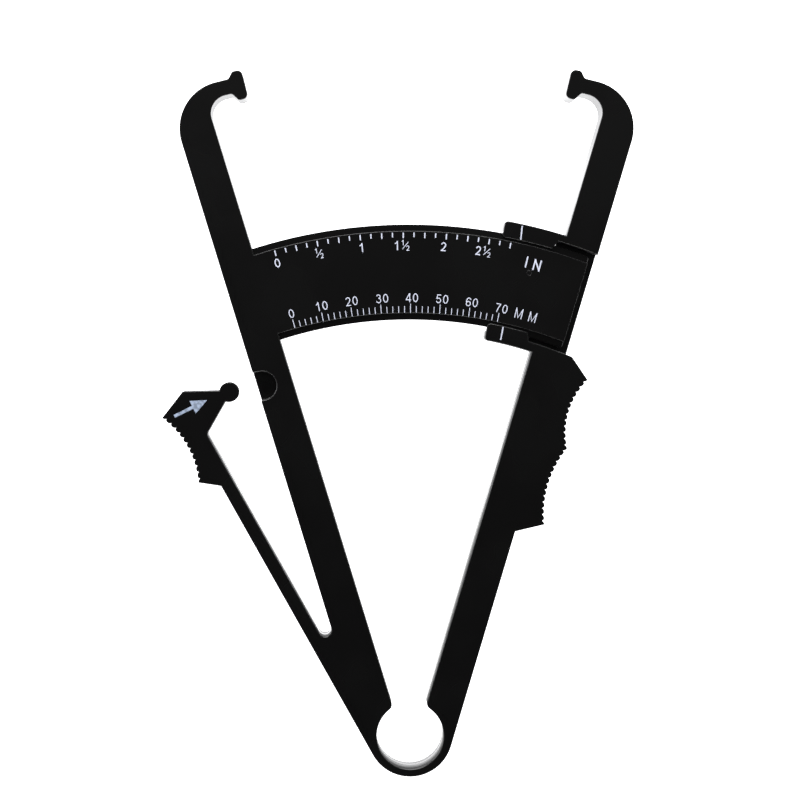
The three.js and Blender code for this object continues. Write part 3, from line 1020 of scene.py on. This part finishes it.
def ink_material(slot):
    """Matt print with fine specks and blotches, where less ink covers the plastic."""
    name = "printed " + slot.replace("_", " ")
    if name in bpy.data.materials:
        return bpy.data.materials[name]
    material, add, surface, links = new_material(name)
    colour = getattr(colours(), slot)
    grain = group_node(add, grain_group(), INK_GRAIN)
    specks = ramp(add, grain["Height"], *SPECK_RANGE, SPECK_COVER, 1)
    blotches = ramp(add, grain["Patches"], 0, 1, *BLOTCHES[slot])
    cover = maths(add, "MULTIPLY", specks, blotches)
    links.new(mixed(add, cover, shaded(colour, THIN_INK), colour), surface.inputs["Base Color"])
    roughness = ramp(add, grain["Patches"], 0, 1, *INK_ROUGHNESS)
    links.new(roughness, surface.inputs["Roughness"])
    links.new(bumped(add, grain["Height"], *INK_BUMP), surface.inputs["Normal"])
    return material


def paper_material():
    """Pale matt paper that glows a little, like a lit table, so that no hard shadow falls on it."""
    material, add, surface, links = new_material("pale paper")
    colour = colours().floor
    grain = group_node(add, grain_group(), PAPER_GRAIN)
    uneven = mixed(add, grain["Patches"], shaded(colour, PAPER_SHADE), colour)
    links.new(uneven, surface.inputs["Base Color"])
    surface.inputs["Roughness"].default_value = PAPER_ROUGHNESS
    surface.inputs["Specular IOR Level"].default_value = PAPER_SPECULAR
    surface.inputs["Emission Color"].default_value = colour
    surface.inputs["Emission Strength"].default_value = FLOOR_GLOW
    links.new(bumped(add, grain["Height"], *PAPER_BUMP), surface.inputs["Normal"])
    return material


# Stage


def lay_floor():
    """Lays the pale floor just below the part."""
    bm = bmesh.new()
    bmesh.ops.create_grid(
        bm, x_segments=FLOOR_SQUARES, y_segments=FLOOR_SQUARES, size=FLOOR_HALF
    )
    mesh = bpy.data.meshes.new("studio_floor")
    bm.to_mesh(mesh)
    bm.free()
    floor = linked("studio_floor", mesh)
    floor.location.z = -FLOOR_DROP
    mesh.materials.append(paper_material())


def hang_light(name, place, width, height, power):
    """Hangs a soft light that the camera doesn't see, aimed at the caliper's middle."""
    lamp = bpy.data.lights.new(name, "AREA")
    lamp.shape = "RECTANGLE"
    lamp.size = width
    lamp.size_y = height
    lamp.energy = power
    light = bpy.data.objects.new(name, lamp)
    light.location = place
    light.rotation_euler = (-Vector(place)).to_track_quat("-Z", "Y").to_euler()
    light.visible_camera = False
    bpy.context.scene.collection.objects.link(light)


def light_sky():
    """A sky that is bright low down but dim on the right, and overhead dimmer near than beyond."""
    world = bpy.data.worlds.new("studio surround")
    bpy.context.scene.world = world
    world.use_nodes = True
    add = adder(world.node_tree)
    way = axes(add, add("ShaderNodeTexCoord").outputs["Generated"])
    above = mixed(add, ramp(add, way["Y"], *BEYOND_THE_JAWS), OVERHEAD_NEAR, OVERHEAD_FAR)
    around = mixed(add, ramp(add, way["X"], *TO_THE_RIGHT), HORIZON, HORIZON_RIGHT)
    sky = mixed(add, ramp(add, way["Z"], *UP_FROM_LOW), around, above)
    background = world.node_tree.nodes["Background"]
    world.node_tree.links.new(sky, background.inputs["Color"])
    background.inputs["Strength"].default_value = WORLD_STRENGTH


def place_camera():
    """Sets the camera at the photograph's viewing angle."""
    data = bpy.data.cameras.new("camera")
    data.sensor_width = CAMERA_SENSOR
    data.lens = CAMERA_LENS
    camera = bpy.data.objects.new("camera", data)
    camera.location = (*(TURNING_CENTRE + CAMERA_OFFSET), CAMERA_HEIGHT)
    camera.rotation_euler = CAMERA_TURN
    bpy.context.scene.collection.objects.link(camera)
    bpy.context.scene.camera = camera


# Operators


def finished_moulding(name, nodes, neighbours):
    """The nodes as one black moulding, which takes their place."""
    piece = moulded(name, nodes, neighbours)
    piece.data.materials.append(plastic_material())
    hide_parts(*nodes)
    return piece


class CALIPER_OT_left_side(bpy.types.Operator):
    """Left arm with its jaw, foot, pocket and scale plate"""

    bl_idname = "caliper.left_side"
    bl_label = "Left side"

    def execute(self, context):
        piece = finished_moulding("left_body", LEFT_NODES, ("spring_ring", "lever_leaf"))
        smooth(piece)
        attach(piece, "left_side")
        return {"FINISHED"}


class CALIPER_OT_right_side(bpy.types.Operator):
    """Right arm with its jaw, foot, finger grip, channel and tabs"""

    bl_idname = "caliper.right_side"
    bl_label = "Right side"

    def execute(self, context):
        piece = finished_moulding("right_body", RIGHT_NODES, ("spring_ring",))
        smooth(piece)
        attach(piece, "right_side")
        return {"FINISHED"}


class CALIPER_OT_thumb_lever(bpy.types.Operator):
    """Thumb pad with its ribs and round nose"""

    bl_idname = "caliper.thumb_lever"
    bl_label = "Thumb lever"

    def execute(self, context):
        piece = finished_moulding("lever_body", LEVER_NODES, ("lever_leaf",))
        smooth(piece)
        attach(piece, "thumb_lever")
        return {"FINISHED"}


class CALIPER_OT_flexures(bpy.types.Operator):
    """Spring ring and leaf that join the sides and the lever, the leaf cut across along its length
    """

    bl_idname = "caliper.flexures"
    bl_label = "Flexures"

    def execute(self, context):
        for name, node, child, child_nodes in (
            ("ring_band", "spring_ring", "right_side", RIGHT_NODES),
            ("leaf_band", "lever_leaf", "thumb_lever", LEVER_NODES),
        ):
            piece = finished_moulding(name, (node,), LEFT_NODES + child_nodes)
            start = seam_middle((node,), LEFT_NODES)
            end = seam_middle((node,), child_nodes)
            if node == "lever_leaf":
                cut_across(piece, start, end, sizes().bend_stations)
            smooth(piece)
            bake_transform(piece)
        return {"FINISHED"}


class CALIPER_OT_scale_lines(bpy.types.Operator):
    """Lines of the inch and millimetre scales"""

    bl_idname = "caliper.scale_lines"
    bl_label = "Scale lines"

    def execute(self, context):
        size = sizes()
        printed(
            "inch_ticks",
            lambda bm: draw_lines(
                bm,
                INCH_ZERO,
                INCH_PITCH,
                INCH_LINES,
                INCH_INNER,
                (INCH_OUTER,),
                size.inch_tick_width,
            ),
            "scale_ink",
            "left_side",
        )
        printed(
            "millimetre_ticks",
            lambda bm: draw_lines(
                bm,
                MILLIMETRE_ZERO,
                MILLIMETRE_PITCH,
                MILLIMETRE_LINES,
                (MILLIMETRE_INNER,),
                MILLIMETRE_OUTER,
                size.millimetre_tick_width,
            ),
            "scale_ink",
            "left_side",
        )
        return {"FINISHED"}


class CALIPER_OT_scale_figures(bpy.types.Operator):
    """Figures and unit marks of the two scales"""

    bl_idname = "caliper.scale_figures"
    bl_label = "Scale figures"

    def execute(self, context):
        size = sizes()

        def inch(bm):
            for label in INCH_LABELS:
                draw_label(bm, *label, size.numeral_height, size.inch_stroke)
            for label in INCH_UNIT:
                draw_label(bm, *label, size.inch_letter_height, size.inch_letter_stroke)

        def millimetre(bm):
            for label in MILLIMETRE_LABELS:
                draw_label(bm, *label, size.numeral_height, size.millimetre_stroke)
            for label in MILLIMETRE_UNIT:
                draw_label(bm, *label, size.millimetre_letter_height, size.millimetre_stroke)

        printed("inch_numerals", inch, "scale_ink", "left_side")
        printed("millimetre_numerals", millimetre, "scale_ink", "left_side")
        return {"FINISHED"}


class CALIPER_OT_pin_mark(bpy.types.Operator):
    """Faint ring that an ejector pin left on the plate"""

    bl_idname = "caliper.pin_mark"
    bl_label = "Pin mark"

    def execute(self, context):
        radius, degrees = PIN_MARK_PLACE
        centre = TURNING_CENTRE + at_angle(degrees)[0] * radius
        profile = (
            (PIN_MARK_RADIUS - PIN_MARK_WIDTH / 2, FRONT - SUNK),
            (PIN_MARK_RADIUS, FRONT + PIN_MARK_HEIGHT),
            (PIN_MARK_RADIUS + PIN_MARK_WIDTH / 2, FRONT - SUNK),
        )
        mesh = closed_mesh("pin_mark", lambda bm: ridge(bm, centre, profile, PIN_MARK_CORNERS))
        mesh.shade_smooth()
        piece = linked("pin_mark", mesh)
        mesh.materials.append(plastic_material())
        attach(piece, "left_side")
        return {"FINISHED"}


class CALIPER_OT_marks(bpy.types.Operator):
    """Index lines on the tabs and the arrow on the thumb lever"""

    bl_idname = "caliper.marks"
    bl_label = "Index lines and arrow"

    def execute(self, context):
        for name, node, ink, body in (
            ("inch_pointer", "inch_index_line", "scale_ink", "right_side"),
            ("millimetre_pointer", "millimetre_index_line", "scale_ink", "right_side"),
            ("press_arrow", "lever_arrow", "arrow_ink", "thumb_lever"),
        ):
            printed(name, draw_face_of(node), ink, body, nodes=(node,))
        return {"FINISHED"}


class CALIPER_OT_studio(bpy.types.Operator):
    """Pale floor, soft lights and the camera"""

    bl_idname = "caliper.studio"
    bl_label = "Studio"

    def execute(self, context):
        lay_floor()
        for light in LIGHTS:
            hang_light(*light)
        light_sky()
        place_camera()
        context.scene.view_settings.view_transform = "Standard"
        return {"FINISHED"}


class CALIPER_PT_panel(bpy.types.Panel):
    """Lists the caliper's pieces with their sizes and colours"""

    bl_idname = "CALIPER_PT_panel"
    bl_label = "Skinfold caliper"
    bl_space_type = "VIEW_3D"
    bl_region_type = "UI"
    bl_category = "Caliper"

    def draw(self, context):
        for operator in OPERATORS:
            self.layout.operator(operator.bl_idname)
        for group in (sizes(), colours()):
            for key in type(group).__annotations__:
                self.layout.prop(group, key)


OPERATORS = (
    CALIPER_OT_left_side,
    CALIPER_OT_right_side,
    CALIPER_OT_thumb_lever,
    CALIPER_OT_flexures,
    CALIPER_OT_scale_lines,
    CALIPER_OT_scale_figures,
    CALIPER_OT_pin_mark,
    CALIPER_OT_marks,
    CALIPER_OT_studio,
)
CLASSES = (CaliperSizes, CaliperColours, *OPERATORS, CALIPER_PT_panel)


def register():
    for cls in CLASSES:
        bpy.utils.register_class(cls)
    bpy.types.Scene.caliper_sizes = PointerProperty(type=CaliperSizes)
    bpy.types.Scene.caliper_colours = PointerProperty(type=CaliperColours)


def unregister():
    del bpy.types.Scene.caliper_colours
    del bpy.types.Scene.caliper_sizes
    for cls in reversed(CLASSES):
        bpy.utils.unregister_class(cls)


def main():
    register()
    bpy.ops.caliper.left_side()
    bpy.ops.caliper.right_side()
    bpy.ops.caliper.thumb_lever()
    bpy.ops.caliper.flexures()
    bpy.ops.caliper.scale_lines()
    bpy.ops.caliper.scale_figures()
    bpy.ops.caliper.pin_mark()
    bpy.ops.caliper.marks()
    bpy.ops.caliper.studio()


if __name__ == "__main__":
    main()
